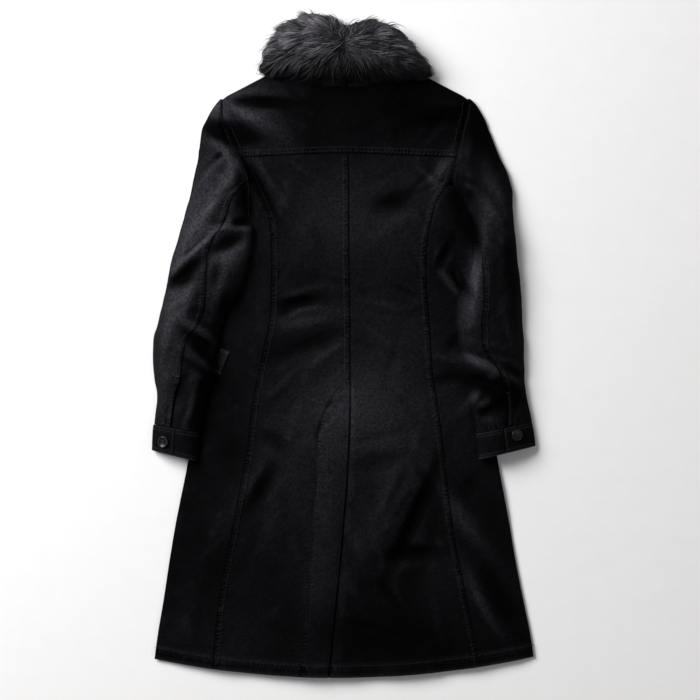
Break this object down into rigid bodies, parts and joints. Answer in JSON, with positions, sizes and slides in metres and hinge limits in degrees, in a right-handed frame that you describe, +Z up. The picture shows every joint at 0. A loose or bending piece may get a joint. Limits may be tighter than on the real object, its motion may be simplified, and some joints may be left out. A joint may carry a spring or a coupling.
{
  "type": "denim coat with fur collar",
  "caption": "Long A-line denim coat with a fur collar, laid flat on its front with the back up: yoke, princess seams, back vent, two-piece sleeves and buttoned cuffs.",
  "frame": {"origin": "middle of the coat's bounding box, on the surface that it lies on", "axes": "+Z up from the surface, +Y towards the collar, +X across the back towards the wearer's right"},
  "size_m": [0.6176, 1.0648, 0.062],
  "materials": {
    "denim": "washed black denim twill, matt",
    "fur": "long dark grey fur with a violet cast",
    "horn": "black horn-look, softly polished"
  },
  "bodies": {
    "root": {"yoke": "denim", "back_left": "denim", "back_right": "denim", "side_back_left": "denim", "side_back_right": "denim", "front_left": "denim", "front_right": "denim", "upper_sleeve_left": "denim", "upper_sleeve_right": "denim", "under_sleeve_left": "denim", "under_sleeve_right": "denim", "cuff_left": "denim", "cuff_right": "denim", "belt_loop_left": "denim", "belt_loop_right": "denim", "collar_left": "fur", "collar_right": "fur", "cuff_button_left": "horn", "cuff_button_right": "horn", "front_button_1": "horn", "front_button_2": "horn", "front_button_3": "horn", "front_button_4": "horn", "front_button_5": "horn"}
  },
  "joints": []
}
